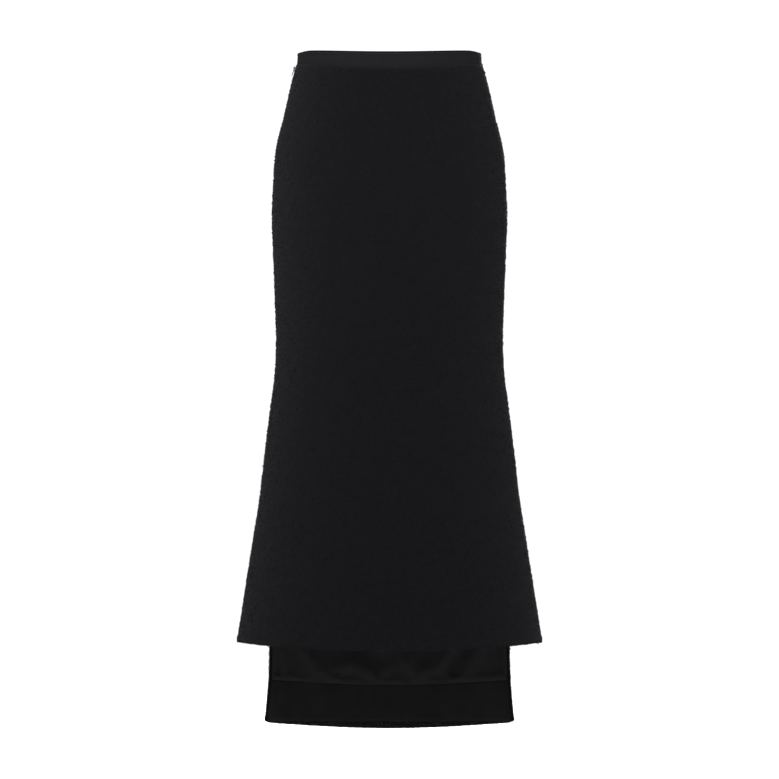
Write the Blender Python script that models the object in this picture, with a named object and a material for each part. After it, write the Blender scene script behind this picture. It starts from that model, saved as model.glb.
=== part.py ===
"""A high-waisted, flared midi skirt of boucle cloth whose centre back runs on below the level hem.

Metres, +Z up. The wearer faces -Y, so -X is the side with the zip. Height 0 is the waist line, and the origin
is the middle of the waist there. Every cloth piece is a wall over one surface: an oval section at each level,
wider or narrower by the table below, and each piece is a stretch of that surface.
"""

import math
from collections import namedtuple

import bmesh
import bpy
from mathutils import Matrix, Vector

# Each row is one level of the skirt, in metres. half_width is at the side seams. front_depth and back_depth are
# from the side seams to the centre front and back. back_panel is half the centre back panel, straight across.
# front_dip and back_dip say how far the level hangs lower at the centre than at the sides.
Section = namedtuple("Section", "level half_width front_depth back_depth back_panel front_dip back_dip")
SECTIONS = [
    Section(0.0185, 0.1263, 0.0930, 0.0900, 0.0765, 0.0085, 0.0000),
    Section(0.0020, 0.1274, 0.0937, 0.0912, 0.0780, 0.0132, 0.0015),
    Section(-0.0080, 0.1305, 0.0953, 0.0938, 0.0797, 0.0130, 0.0015),
    Section(-0.0330, 0.1367, 0.0985, 0.1000, 0.0835, 0.0126, 0.0012),
    Section(-0.0740, 0.1461, 0.1030, 0.1093, 0.0895, 0.0118, 0.0008),
    Section(-0.1150, 0.1560, 0.1068, 0.1168, 0.0955, 0.0110, 0.0000),
    Section(-0.1560, 0.1592, 0.1097, 0.1222, 0.1005, 0.0103, 0.0000),
    Section(-0.2080, 0.1614, 0.1120, 0.1250, 0.1045, 0.0094, 0.0000),
    Section(-0.2600, 0.1595, 0.1124, 0.1234, 0.1062, 0.0086, 0.0000),
    Section(-0.3210, 0.1572, 0.1108, 0.1180, 0.1080, 0.0076, 0.0000),
    Section(-0.3830, 0.1556, 0.1088, 0.1122, 0.1105, 0.0066, 0.0000),
    Section(-0.4250, 0.1577, 0.1088, 0.1106, 0.1135, 0.0059, 0.0000),
    Section(-0.4660, 0.1631, 0.1105, 0.1125, 0.1182, 0.0052, 0.0000),
    Section(-0.5280, 0.1708, 0.1145, 0.1180, 0.1260, 0.0042, 0.0000),
    Section(-0.5900, 0.1779, 0.1190, 0.1240, 0.1345, 0.0034, 0.0000),
    Section(-0.6510, 0.1874, 0.1245, 0.1310, 0.1440, 0.0028, 0.0000),
    Section(-0.7130, 0.1973, 0.1310, 0.1390, 0.1545, 0.0024, 0.0000),
    Section(-0.7550, 0.2038, 0.1355, 0.1440, 0.1615, 0.0022, 0.0000),
    Section(-0.7888, 0.2090, 0.1395, 0.1480, 0.1680, 0.0022, 0.0000),
    Section(-0.8421, 0.2158, 0.1445, 0.1530, 0.1705, 0.0000, 0.0213),
    Section(-0.9046, 0.2225, 0.1490, 0.1575, 0.1760, 0.0000, 0.0232),
]
BAND_TOP = SECTIONS[0].level
WAIST_SEAM = SECTIONS[1].level
HEM = -0.7888
BACK_HEM = SECTIONS[-1].level
FACING_TOP = -0.8421

SEAM_GAP = 0.0003
LAYER_GAP = 0.0005
BOUCLE = 0.0020
RIBBON = 0.0018
SATIN = 0.0010
FACING_CLOTH = 0.0012
# The facing stops short of the foot of the boucle, which turns up behind it.
BACK_HEM_TURN = 0.0022
TAPE = 0.0009

# The rows and columns of faces in a panel. Neighbours share the rows, so their edges follow each other.
# The cloth springs out just below the band, so the rows are closer there.
YOKE_FOOT = -0.0740
SPRING_FOOT = -0.0080
BODY_EDGES = (HEM, YOKE_FOOT, SPRING_FOOT, WAIST_SEAM - SEAM_GAP)
BODY_ROWS = (24, 3, 1)
FRONT_COLUMNS = 22
SIDE_BACK_COLUMNS = 7
BACK_COLUMNS = 24
EXTENSION_ROWS = (4, 3)
LINING_FOLD_ROWS = 7
BAND_COLUMNS = 44

# The lining hangs a little slack above the facing. Each row is one of its largest folds: a ridge from one point
# to another, as seen from the front, with how far it stands in and how wide it spreads.
Fold = namedtuple("Fold", "start_x start_z end_x end_z depth spread")
LINING_FOLDS = [
    Fold(-0.152, -0.815, -0.150, -0.848, 0.0045, 0.015),
    Fold(-0.116, -0.822, -0.090, -0.848, 0.0060, 0.010),
    Fold(-0.090, -0.848, -0.052, -0.840, 0.0070, 0.009),
    Fold(-0.052, -0.840, -0.018, -0.856, 0.0075, 0.010),
    Fold(-0.018, -0.856, -0.003, -0.825, 0.0060, 0.009),
    Fold(0.044, -0.854, 0.070, -0.842, 0.0070, 0.010),
    Fold(0.070, -0.842, 0.093, -0.818, 0.0060, 0.010),
    Fold(0.103, -0.852, 0.130, -0.831, 0.0060, 0.011),
]
SIDE_TURN_IN = 0.035

RIGHT_TURN = math.pi / 2
BACK_TURN = math.pi
LEFT_TURN = 1.5 * math.pi
# The step in turn and level that directions on the surface are measured over.
PROBE = 0.002

ZIP_FOOT = -0.195
ZIP_TAPE_TURN = math.radians(7.0)
ZIP_TAPE_ROWS = (4, 3, 1)
SLIDER_LEVEL = -0.0028
PULL_AXIS_OFFSET = 0.0019
EYE_RADIUS = 0.0018
EYE_HOLE_RADIUS = 0.00095
EYE_WIDTH = 0.0012
NECK_HEIGHT = 0.0024
SLIDER_SIZE = Vector((0.0030, 0.0060, 0.0090))
SLIDER_INSET = 0.0041
PULL_WIDTH = 0.0036
PULL_TIP_WIDTH = 0.0022
PULL_WINDOW_WIDTH = 0.0020
PULL_WINDOW_LENGTH = 0.0022
PULL_BAR = 0.0010
PULL_LENGTH = 0.0118
PULL_TIP = 0.0014
PULL_THICKNESS = 0.0009

FASTENER_LEVEL = 0.0105
HOOK_HEIGHT = 0.0050
HOOK_FRONT = 0.0085
HOOK_REACH = 0.0062
# The hook's tip stands in by the lip over the last share of its reach, and goes under the bar.
HOOK_LIP = 0.0013
HOOK_LIP_SHARE = 0.12
HOOK_METAL = 0.0007
HOOK_INSET = RIBBON + 0.0007
BAR_PLACE = 0.0036
BAR_HALF_HEIGHT = 0.0046
BAR_WIRE = 0.0009
BAR_CLEARANCE = 0.0004


def smooth_read(column, level):
    """The table's value at a level, on a smooth curve through its rows."""
    last = len(SECTIONS) - 2
    row = 0
    while row < last and level < SECTIONS[row + 1].level:
        row += 1
    levels = [section.level for section in SECTIONS]
    values = [getattr(section, column) for section in SECTIONS]

    def slope(index):
        low, high = max(index - 1, 0), min(index + 1, len(SECTIONS) - 1)
        return (values[high] - values[low]) / (levels[high] - levels[low])

    span = levels[row + 1] - levels[row]
    part = (level - levels[row]) / span
    start, end = slope(row) * span, slope(row + 1) * span
    square, cube = part**2, part**3
    return (
        (2 * cube - 3 * square + 1) * values[row]
        + (cube - 2 * square + part) * start
        + (3 * square - 2 * cube) * values[row + 1]
        + (cube - square) * end
    )


def on_surface(turn, level):
    """A point of the skirt's outer surface. The turn runs from the centre front past the right side seam."""
    ahead = math.cos(turn)
    depth, dip = ("front_depth", "front_dip") if ahead > 0 else ("back_depth", "back_dip")
    return Vector((
        smooth_read("half_width", level) * math.sin(turn),
        -smooth_read(depth, level) * ahead,
        level - smooth_read(dip, level) * ahead**2,
    ))


def outward(turn, level):
    """The direction that points out of the cloth there."""
    along = on_surface(turn + PROBE, level) - on_surface(turn - PROBE, level)
    up = on_surface(turn, level + PROBE) - on_surface(turn, level - PROBE)
    return along.cross(up).normalized()


def back_seam_turn(level):
    """How far each seam of the centre back panel is turned from the centre back."""
    return math.asin(smooth_read("back_panel", level) / smooth_read("half_width", level))


def front_sides(level):
    return -RIGHT_TURN, RIGHT_TURN


def right_side_back_sides(level):
    return RIGHT_TURN, BACK_TURN - back_seam_turn(level)


def left_side_back_sides(level):
    return BACK_TURN + back_seam_turn(level), LEFT_TURN


def centre_back_sides(level):
    return BACK_TURN - back_seam_turn(level), BACK_TURN + back_seam_turn(level)


def inner_back_sides(level):
    """The centre back panel's width less the boucle that is turned in at its sides."""
    turn = back_seam_turn(level) * (1 - SIDE_TURN_IN)
    return BACK_TURN - turn, BACK_TURN + turn


def zip_tape_front_sides(level):
    return LEFT_TURN, LEFT_TURN + ZIP_TAPE_TURN


def zip_tape_back_sides(level):
    return LEFT_TURN - ZIP_TAPE_TURN, LEFT_TURN


def band_sides(level):
    """All the way round, from the left side seam back to it."""
    return -RIGHT_TURN, LEFT_TURN


def no_relief(point):
    return 0.0


def lining_relief(point):
    """How far the slack lining stands in at a point: the deepest of its folds there."""
    here = Vector((point.x, point.z))
    deepest = 0.0
    for fold in LINING_FOLDS:
        start = Vector((fold.start_x, fold.start_z))
        run = Vector((fold.end_x, fold.end_z)) - start
        part = min(max((here - start).dot(run) / run.length_squared, 0.0), 1.0)
        away = (here - start - part * run).length
        deepest = max(deepest, fold.depth * math.exp(-((away / fold.spread) ** 2)))
    return deepest


def level_of_row(row, edges, rows):
    """The level of a row of points, where edges[i] to edges[i + 1] holds rows[i] rows of faces."""
    for low, high, count in zip(edges, edges[1:], rows):
        if row <= count:
            return low + (high - low) * row / count
        row -= count
    return edges[-1]


def add_object(name, mesh, material):
    mesh.normal_update()
    data = bpy.data.meshes.new(name)
    mesh.to_mesh(data)
    mesh.free()
    data.materials.append(material)
    thing = bpy.data.objects.new(name, data)
    bpy.context.scene.collection.objects.link(thing)
    return thing


def add_wall(name, material, sides, edges, rows, columns, inset, thickness, relief=no_relief):
    """A piece of cloth over a stretch of the skirt's surface, set in from it by inset.

    sides gives the turns of its two side edges at a level. edges are levels from its foot to its top, with
    rows[i] rows of faces from edges[i] to edges[i + 1]. Half a seam gap is left free at each side.
    """
    mesh = bmesh.new()
    bmesh.ops.create_grid(mesh, x_segments=columns, y_segments=sum(rows), size=0.5)
    inner = bmesh.ops.extrude_face_region(mesh, geom=mesh.faces[:], use_keep_orig=True)["geom"]
    inner = [item for item in inner if isinstance(item, bmesh.types.BMVert)]
    bmesh.ops.translate(mesh, vec=(0.0, 0.0, 1.0), verts=inner)
    for vertex in mesh.verts:
        across = vertex.co.x + 0.5
        level = level_of_row(round((vertex.co.y + 0.5) * sum(rows)), edges, rows)
        first, last = sides(level)
        free = SEAM_GAP / 2 / smooth_read("front_depth", level)
        turn = first + free + (last - first - 2 * free) * across
        point = on_surface(turn, level)
        depth = inset + relief(point) + vertex.co.z * thickness
        vertex.co = point - outward(turn, level) * depth
    bmesh.ops.recalc_face_normals(mesh, faces=mesh.faces)
    return add_object(name, mesh, material)


def make_material(name, colour, roughness, metallic=0.0):
    material = bpy.data.materials.new(name)
    material.use_nodes = True
    shader = material.node_tree.nodes["Principled BSDF"]
    shader.inputs["Base Color"].default_value = (*colour, 1.0)
    shader.inputs["Roughness"].default_value = roughness
    shader.inputs["Metallic"].default_value = metallic
    material.diffuse_color = (*colour, 1.0)
    return material


def add_box(name, material, low, high, place):
    """A box between two corners in the frame that place gives."""
    mesh = bmesh.new()
    bmesh.ops.create_cube(mesh, size=1.0)
    middle, size = (low + high) / 2, high - low
    bmesh.ops.scale(mesh, vec=size, verts=mesh.verts)
    bmesh.ops.translate(mesh, vec=middle, verts=mesh.verts)
    thing = add_object(name, mesh, material)
    thing.matrix_world = place
    return thing


def make_guide(thing):
    """Marks an object as a shape that only cuts or joins others."""
    thing.hide_render = True
    thing.display_type = "WIRE"


def combine(thing, other, operation):
    boolean = thing.modifiers.new(f"{operation} {other.name}", "BOOLEAN")
    boolean.operation = operation
    boolean.object = other
    boolean.solver = "EXACT"


def seam_frame(level, offset):
    """A frame on the left side seam: X points out of the cloth, Y to the front and Z up along it."""
    out = outward(LEFT_TURN, level)
    forward = Vector((0.0, -1.0, 0.0))
    up = out.cross(forward)
    frame = Matrix((out, forward, up)).transposed().to_4x4()
    frame.translation = on_surface(LEFT_TURN, level) + out * offset
    return frame


def add_panels(boucle):
    body = {"edges": BODY_EDGES, "rows": BODY_ROWS, "inset": 0.0, "thickness": BOUCLE}
    front = add_wall("front_panel", boucle, front_sides, columns=FRONT_COLUMNS, **body)
    left = add_wall("side_back_left", boucle, left_side_back_sides, columns=SIDE_BACK_COLUMNS, **body)
    add_wall("side_back_right", boucle, right_side_back_sides, columns=SIDE_BACK_COLUMNS, **body)
    add_wall(
        "centre_back_panel",
        boucle,
        centre_back_sides,
        edges=(BACK_HEM, FACING_TOP, *BODY_EDGES),
        rows=(*EXTENSION_ROWS, *BODY_ROWS),
        columns=BACK_COLUMNS,
        inset=0.0,
        thickness=BOUCLE,
    )
    return front, left


def add_waistband(ribbon):
    add_wall(
        "waistband",
        ribbon,
        band_sides,
        edges=(WAIST_SEAM, BAND_TOP),
        rows=(2,),
        columns=BAND_COLUMNS,
        inset=0.0,
        thickness=RIBBON,
    )


def add_inner_back(satin, facing_cloth):
    """The lining of the centre back panel, and the facing that finishes its hem."""
    inset = BOUCLE + LAYER_GAP
    add_wall(
        "back_lining",
        satin,
        inner_back_sides,
        edges=(FACING_TOP + SEAM_GAP, *BODY_EDGES),
        rows=(LINING_FOLD_ROWS, *BODY_ROWS),
        columns=BACK_COLUMNS,
        inset=inset,
        thickness=SATIN,
        relief=lining_relief,
    )
    add_wall(
        "back_hem_facing",
        facing_cloth,
        inner_back_sides,
        edges=(BACK_HEM + BACK_HEM_TURN, FACING_TOP),
        rows=(EXTENSION_ROWS[0],),
        columns=BACK_COLUMNS,
        inset=inset,
        thickness=FACING_CLOTH,
    )


def add_zip_tapes(tape):
    strip = {
        "edges": (ZIP_FOOT, *BODY_EDGES[1:]),
        "rows": ZIP_TAPE_ROWS,
        "columns": 1,
        "inset": BOUCLE + LAYER_GAP,
        "thickness": TAPE,
    }
    front = add_wall("zip_tape_front", tape, zip_tape_front_sides, **strip)
    back = add_wall("zip_tape_back", tape, zip_tape_back_sides, **strip)
    return front, back


def add_eye(name, material, place):
    """The slider's ring, which lies in the plane of the side seam's edge."""
    mesh = bmesh.new()
    half = EYE_WIDTH / 2
    corners = [
        mesh.verts.new((radius, side, 0.0))
        for radius, side in (
            (EYE_HOLE_RADIUS, -half),
            (EYE_RADIUS, -half),
            (EYE_RADIUS, half),
            (EYE_HOLE_RADIUS, half),
        )
    ]
    sides = [mesh.edges.new((corner, after)) for corner, after in zip(corners, corners[1:] + corners[:1])]
    bmesh.ops.spin(
        mesh,
        geom=corners + sides,
        cent=(0.0, 0.0, 0.0),
        axis=(0.0, 1.0, 0.0),
        angle=math.tau,
        steps=16,
        use_merge=True,
    )
    bmesh.ops.recalc_face_normals(mesh, faces=mesh.faces)
    thing = add_object(name, mesh, material)
    thing.matrix_world = place
    return thing


def add_slider(metal, cut_pieces):
    """The slider's body inside the skirt, its neck through the seam and its eye outside."""
    seam = seam_frame(SLIDER_LEVEL, 0.0)
    half = SLIDER_SIZE / 2
    body = add_box(
        "zip_slider",
        metal,
        Vector((-SLIDER_INSET - SLIDER_SIZE.x, -half.y, -half.z)),
        Vector((-SLIDER_INSET, half.y, half.z)),
        seam,
    )
    eye = add_eye("slider_eye", metal, seam_frame(SLIDER_LEVEL, PULL_AXIS_OFFSET))
    eye_wall = EYE_RADIUS - EYE_HOLE_RADIUS
    neck_low = Vector((-SLIDER_INSET - SLIDER_SIZE.x / 2, -EYE_WIDTH / 2, -NECK_HEIGHT / 2))
    neck_high = Vector((PULL_AXIS_OFFSET - EYE_RADIUS + eye_wall / 2, EYE_WIDTH / 2, NECK_HEIGHT / 2))
    neck = add_box("slider_neck", metal, neck_low, neck_high, seam)
    room = Vector((0.0, SEAM_GAP, SEAM_GAP))
    notch = add_box("slider_notch", metal, neck_low - room, neck_high + room, seam)
    for guide in (eye, neck, notch):
        make_guide(guide)
    combine(body, neck, "UNION")
    combine(body, eye, "UNION")
    for piece in cut_pieces:
        combine(piece, notch, "DIFFERENCE")


def add_pull(metal):
    """The pull tab: a plate with a window at its top, which leaves the bar that turns in the slider's eye."""
    half, window, tip = PULL_WIDTH / 2, PULL_WINDOW_WIDTH / 2, PULL_TIP_WIDTH / 2
    foot = PULL_BAR / 2 - PULL_LENGTH
    heights = (foot, foot + PULL_TIP, -PULL_BAR / 2 - PULL_WINDOW_LENGTH, -PULL_BAR / 2, PULL_BAR / 2)
    mesh = bmesh.new()
    bmesh.ops.create_grid(mesh, x_segments=3, y_segments=len(heights) - 1, size=0.5)
    for vertex in mesh.verts:
        row = round((vertex.co.y + 0.5) * (len(heights) - 1))
        side = round((vertex.co.x + 0.5) * 3)
        widths = (-half, -window, window, half) if row else (-tip, -tip / 3, tip / 3, tip)
        vertex.co = (PULL_THICKNESS / 2, widths[side], heights[row])
    middle = min(
        mesh.faces,
        key=lambda face: (face.calc_center_median() - Vector((0, 0, (heights[2] + heights[3]) / 2))).length,
    )
    bmesh.ops.delete(mesh, geom=[middle], context="FACES_ONLY")
    thing = add_object("zip_pull", mesh, metal)
    thing.matrix_world = seam_frame(SLIDER_LEVEL, PULL_AXIS_OFFSET)
    solidify = thing.modifiers.new("Plate thickness", "SOLIDIFY")
    solidify.thickness = PULL_THICKNESS
    solidify.offset = -1.0


def add_waist_fastener(metal):
    """A flat hook on the band's front end, and the bar on its back end that the hook goes under."""
    width = smooth_read("front_depth", FASTENER_LEVEL)
    front_turn, reach_turn = HOOK_FRONT / width, HOOK_REACH / width
    lip_from = LEFT_TURN - reach_turn * (1 - HOOK_LIP_SHARE)

    def hook_sides(level):
        return LEFT_TURN - reach_turn, LEFT_TURN + front_turn

    def hook_relief(point):
        return HOOK_LIP if point.y > -math.cos(lip_from) * width else 0.0

    add_wall(
        "waist_hook",
        metal,
        hook_sides,
        edges=(FASTENER_LEVEL - HOOK_HEIGHT / 2, FASTENER_LEVEL + HOOK_HEIGHT / 2),
        rows=(1,),
        columns=7,
        inset=HOOK_INSET,
        thickness=HOOK_METAL,
        relief=hook_relief,
    )
    foot = RIBBON + SEAM_GAP + BAR_CLEARANCE / 2
    inner = HOOK_INSET + HOOK_METAL + BAR_CLEARANCE
    mesh = bmesh.new()
    outline = (
        (-foot, -BAR_HALF_HEIGHT),
        (-foot, BAR_WIRE - BAR_HALF_HEIGHT),
        (-inner, BAR_WIRE - BAR_HALF_HEIGHT),
        (-inner, BAR_HALF_HEIGHT - BAR_WIRE),
        (-foot, BAR_HALF_HEIGHT - BAR_WIRE),
        (-foot, BAR_HALF_HEIGHT),
        (-inner - BAR_WIRE, BAR_HALF_HEIGHT),
        (-inner - BAR_WIRE, -BAR_HALF_HEIGHT),
    )
    start = -BAR_PLACE - BAR_WIRE / 2
    staple = mesh.faces.new([mesh.verts.new((out, start, up)) for out, up in outline])
    made = bmesh.ops.extrude_face_region(mesh, geom=[staple])
    moved = [item for item in made["geom"] if isinstance(item, bmesh.types.BMVert)]
    bmesh.ops.translate(mesh, vec=(0.0, BAR_WIRE, 0.0), verts=moved)
    bmesh.ops.recalc_face_normals(mesh, faces=mesh.faces)
    bar = add_object("waist_bar", mesh, metal)
    bar.matrix_world = seam_frame(FASTENER_LEVEL, 0.0)


def main():
    for thing in list(bpy.data.objects):
        bpy.data.objects.remove(thing, do_unlink=True)
    boucle = make_material("Black boucle", (0.011, 0.011, 0.012), 0.95)
    ribbon = make_material("Black ribbon", (0.018, 0.018, 0.020), 0.60)
    satin = make_material("Black satin", (0.008, 0.008, 0.008), 0.35)
    facing_cloth = make_material("Black facing", (0.007, 0.007, 0.007), 0.85)
    tape = make_material("Black zip tape", (0.010, 0.010, 0.010), 0.80)
    black_metal = make_material("Black metal", (0.012, 0.012, 0.013), 0.40, metallic=0.6)
    steel = make_material("Steel", (0.45, 0.45, 0.46), 0.35, metallic=1.0)
    front, side_back_left = add_panels(boucle)
    add_waistband(ribbon)
    add_inner_back(satin, facing_cloth)
    tapes = add_zip_tapes(tape)
    add_slider(black_metal, (front, side_back_left, *tapes))
    add_pull(black_metal)
    add_waist_fastener(steel)


main()
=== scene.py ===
"""A black boucle skirt, filled out as if worn: the cloth, ribbon, lining, zip and stitching over its solids.

Metres, +Z up. The wearer faces -Y, and -X is the side with the zip. Cloth pieces are made flat, on a grid of
squares, and then laid over the skirt's surface, which the table of sections below describes.
"""

import math
from collections import namedtuple
from functools import partial

import bmesh
import bpy
import numpy as np
from bpy.props import FloatProperty, FloatVectorProperty, IntProperty, PointerProperty
from mathutils import Matrix, Vector


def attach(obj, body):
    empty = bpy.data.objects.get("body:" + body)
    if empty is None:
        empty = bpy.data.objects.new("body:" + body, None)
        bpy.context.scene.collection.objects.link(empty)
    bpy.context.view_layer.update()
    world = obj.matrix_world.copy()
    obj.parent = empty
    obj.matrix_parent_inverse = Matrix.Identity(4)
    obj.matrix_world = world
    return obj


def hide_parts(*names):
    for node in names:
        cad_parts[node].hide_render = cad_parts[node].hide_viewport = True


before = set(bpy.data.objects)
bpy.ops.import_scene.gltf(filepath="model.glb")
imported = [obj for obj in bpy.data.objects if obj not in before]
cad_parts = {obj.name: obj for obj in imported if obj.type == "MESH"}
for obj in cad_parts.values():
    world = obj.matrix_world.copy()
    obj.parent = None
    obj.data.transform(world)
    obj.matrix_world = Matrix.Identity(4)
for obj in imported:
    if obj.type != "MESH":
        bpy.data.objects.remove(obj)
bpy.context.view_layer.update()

bl_info = {
    "name": "Boucle Skirt",
    "version": (1, 0, 0),
    "blender": (4, 5, 0),
    "location": "View3D > Sidebar > Skirt",
    "description": "Makes the cloth, trimmings and studio of a flared boucle skirt with a longer back panel",
    "category": "Add Mesh",
}

MM = 0.001

# Each row is one level of the skirt, in metres. half_width is at the side seams. front_depth and back_depth
# are from there to the centre front and back. back_panel is half the centre back panel, straight across.
# front_dip and back_dip say how far the level hangs lower at the centre than at the sides.
Section = namedtuple("Section", "level half_width front_depth back_depth back_panel front_dip back_dip")
SECTIONS = [
    Section(0.0185, 0.1263, 0.0930, 0.0900, 0.0765, 0.0085, 0.0000),
    Section(0.0020, 0.1274, 0.0937, 0.0912, 0.0780, 0.0132, 0.0015),
    Section(-0.0080, 0.1305, 0.0953, 0.0938, 0.0797, 0.0130, 0.0015),
    Section(-0.0330, 0.1367, 0.0985, 0.1000, 0.0835, 0.0126, 0.0012),
    Section(-0.0740, 0.1461, 0.1030, 0.1093, 0.0895, 0.0118, 0.0008),
    Section(-0.1150, 0.1560, 0.1068, 0.1168, 0.0955, 0.0110, 0.0000),
    Section(-0.1560, 0.1592, 0.1097, 0.1222, 0.1005, 0.0103, 0.0000),
    Section(-0.2080, 0.1614, 0.1120, 0.1250, 0.1045, 0.0094, 0.0000),
    Section(-0.2600, 0.1595, 0.1124, 0.1234, 0.1062, 0.0086, 0.0000),
    Section(-0.3210, 0.1572, 0.1108, 0.1180, 0.1080, 0.0076, 0.0000),
    Section(-0.3830, 0.1556, 0.1088, 0.1122, 0.1105, 0.0066, 0.0000),
    Section(-0.4250, 0.1577, 0.1088, 0.1106, 0.1135, 0.0059, 0.0000),
    Section(-0.4660, 0.1631, 0.1105, 0.1125, 0.1182, 0.0052, 0.0000),
    Section(-0.5280, 0.1708, 0.1145, 0.1180, 0.1260, 0.0042, 0.0000),
    Section(-0.5900, 0.1779, 0.1190, 0.1240, 0.1345, 0.0034, 0.0000),
    Section(-0.6510, 0.1874, 0.1245, 0.1310, 0.1440, 0.0028, 0.0000),
    Section(-0.7130, 0.1973, 0.1310, 0.1390, 0.1545, 0.0024, 0.0000),
    Section(-0.7550, 0.2038, 0.1355, 0.1440, 0.1615, 0.0022, 0.0000),
    Section(-0.7888, 0.2090, 0.1395, 0.1480, 0.1680, 0.0022, 0.0000),
    Section(-0.8421, 0.2158, 0.1445, 0.1530, 0.1705, 0.0000, 0.0213),
    Section(-0.9046, 0.2225, 0.1490, 0.1575, 0.1760, 0.0000, 0.0232),
]
BAND_TOP, WAIST_SEAM = (section.level for section in SECTIONS[:2])
HEM, FACING_TOP, BACK_HEM = (section.level for section in SECTIONS[-3:])

# How thick each cloth is, and how far apart two layers or two pieces side by side are.
BOUCLE = 2.0 * MM
RIBBON = 1.8 * MM
SATIN = 0.6 * MM
FACING_CLOTH = 0.9 * MM
TAPE = 0.6 * MM
LAYER_GAP = 0.5 * MM
SEAM_GAP = 0.3 * MM

# The lining's folds: a ridge from one point to another, as seen from the front, with how far it stands in and
# how wide it spreads.
Fold = namedtuple("Fold", "start_x start_z end_x end_z depth spread")
LINING_FOLDS = [
    Fold(-0.150, -0.817, -0.143, -0.847, 0.0018, 0.012),
    Fold(-0.121, -0.818, -0.106, -0.842, 0.0034, 0.008),
    Fold(-0.106, -0.842, -0.077, -0.853, 0.0036, 0.008),
    Fold(-0.082, -0.844, -0.056, -0.838, 0.0036, 0.008),
    Fold(-0.056, -0.838, -0.038, -0.844, 0.0038, 0.008),
    Fold(-0.038, -0.844, -0.020, -0.855, 0.0040, 0.007),
    Fold(-0.020, -0.855, -0.005, -0.846, 0.0034, 0.008),
    Fold(-0.005, -0.846, -0.006, -0.818, 0.0024, 0.010),
    Fold(0.027, -0.837, 0.042, -0.851, 0.0030, 0.008),
    Fold(0.042, -0.851, 0.070, -0.841, 0.0036, 0.008),
    Fold(0.070, -0.841, 0.091, -0.811, 0.0036, 0.007),
    Fold(0.094, -0.855, 0.110, -0.845, 0.0034, 0.008),
    Fold(0.110, -0.845, 0.127, -0.815, 0.0036, 0.009),
]
# Shares of the way from the centre back to a side edge of its panel, inside: how much of it the lining and
# the facing leave bare, and how much of it the boucle's turned-in edge covers.
SIDE_BARE = 0.012
SIDE_TURN_IN = 0.060

# The turns of the seams and of the centre back, from the centre front past the right side.
RIGHT_TURN = math.pi / 2
BACK_TURN = math.pi
LEFT_TURN = 1.5 * math.pi

WAIST_TAPE_GAP = math.radians(2.0)
ZIP_FOOT = -0.195
ZIP_TAPE_TURN = math.radians(7.0)
SLIDER_LEVEL = -0.0028


class SkirtSettings(bpy.types.PropertyGroup):
    """Sizes and colours that a user would change."""

    boucle_colour: FloatVectorProperty(
        name="Boucle", description="Colour of the boucle cloth", subtype="COLOR",
        default=(0.0030, 0.0030, 0.00345), min=0.0, max=1.0)
    ribbon_colour: FloatVectorProperty(
        name="Ribbon", description="Colour of the waistband's ribbon", subtype="COLOR",
        default=(0.0054, 0.0054, 0.0059), min=0.0, max=1.0)
    satin_colour: FloatVectorProperty(
        name="Satin", description="Colour of the lining", subtype="COLOR",
        default=(0.0037, 0.0037, 0.0037), min=0.0, max=1.0)
    facing_colour: FloatVectorProperty(
        name="Facing", description="Colour of the hem facing", subtype="COLOR",
        default=(0.0045, 0.0045, 0.0045), min=0.0, max=1.0)
    loop_spacing: FloatProperty(
        name="Loop spacing", description="Distance between the boucle's loops", subtype="DISTANCE",
        unit="LENGTH", default=9.0 * MM, min=3.0 * MM, max=30.0 * MM)
    nub_spacing: FloatProperty(
        name="Nub spacing", description="Distance between the boucle's tight curls", subtype="DISTANCE",
        unit="LENGTH", default=4.5 * MM, min=3.0 * MM, max=20.0 * MM)
    nub_size: FloatProperty(
        name="Nub size", description="Radius of a tight curl", subtype="DISTANCE", unit="LENGTH",
        default=0.95 * MM, min=0.5 * MM, max=5.0 * MM)
    loop_size: FloatProperty(
        name="Loop size", description="Radius of a boucle loop", subtype="DISTANCE", unit="LENGTH",
        default=1.3 * MM, min=0.5 * MM, max=5.0 * MM)
    yarn: FloatProperty(
        name="Yarn", description="Radius of the boucle's yarn", subtype="DISTANCE", unit="LENGTH",
        default=0.40 * MM, min=0.1 * MM, max=1.0 * MM)
    cell: FloatProperty(
        name="Cloth cell", description="Size of a face in the boucle panels", subtype="DISTANCE",
        unit="LENGTH", default=5.0 * MM, min=2.0 * MM, max=20.0 * MM)
    seed: IntProperty(
        name="Seed", description="Seed of the yarn's scatter", default=7, min=0)


def skirt_settings():
    return bpy.context.scene.skirt


# --- the skirt's surface -----------------------------------

# Which way the surface runs is told from points this far to either side: radians of turn, metres of level.
SURFACE_STEP = 0.002


def smooth_columns(steps=1200):
    """Every column of the table at close, rising levels, on smooth curves through its rows."""
    rows = np.array(SECTIONS)[::-1]
    known = rows[:, 0]
    levels = np.linspace(known[0], known[-1], steps)
    at = np.clip(np.searchsorted(known, levels, side="right") - 1, 0, len(known) - 2)
    span = known[at + 1] - known[at]
    part = (levels - known[at]) / span
    square, cube = part**2, part**3
    columns = {"level": levels}
    for index, name in enumerate(Section._fields[1:], start=1):
        values = rows[:, index]
        slopes = np.empty(len(known))
        slopes[1:-1] = (values[2:] - values[:-2]) / (known[2:] - known[:-2])
        slopes[0] = (values[1] - values[0]) / (known[1] - known[0])
        slopes[-1] = (values[-1] - values[-2]) / (known[-1] - known[-2])
        columns[name] = (
            (2 * cube - 3 * square + 1) * values[at]
            + (cube - 2 * square + part) * slopes[at] * span
            + (3 * square - 2 * cube) * values[at + 1]
            + (cube - square) * slopes[at + 1] * span
        )
    return columns


COLUMNS = smooth_columns()


def read(column, level):
    """A column's value at any level."""
    return np.interp(level, COLUMNS["level"], COLUMNS[column])


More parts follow.
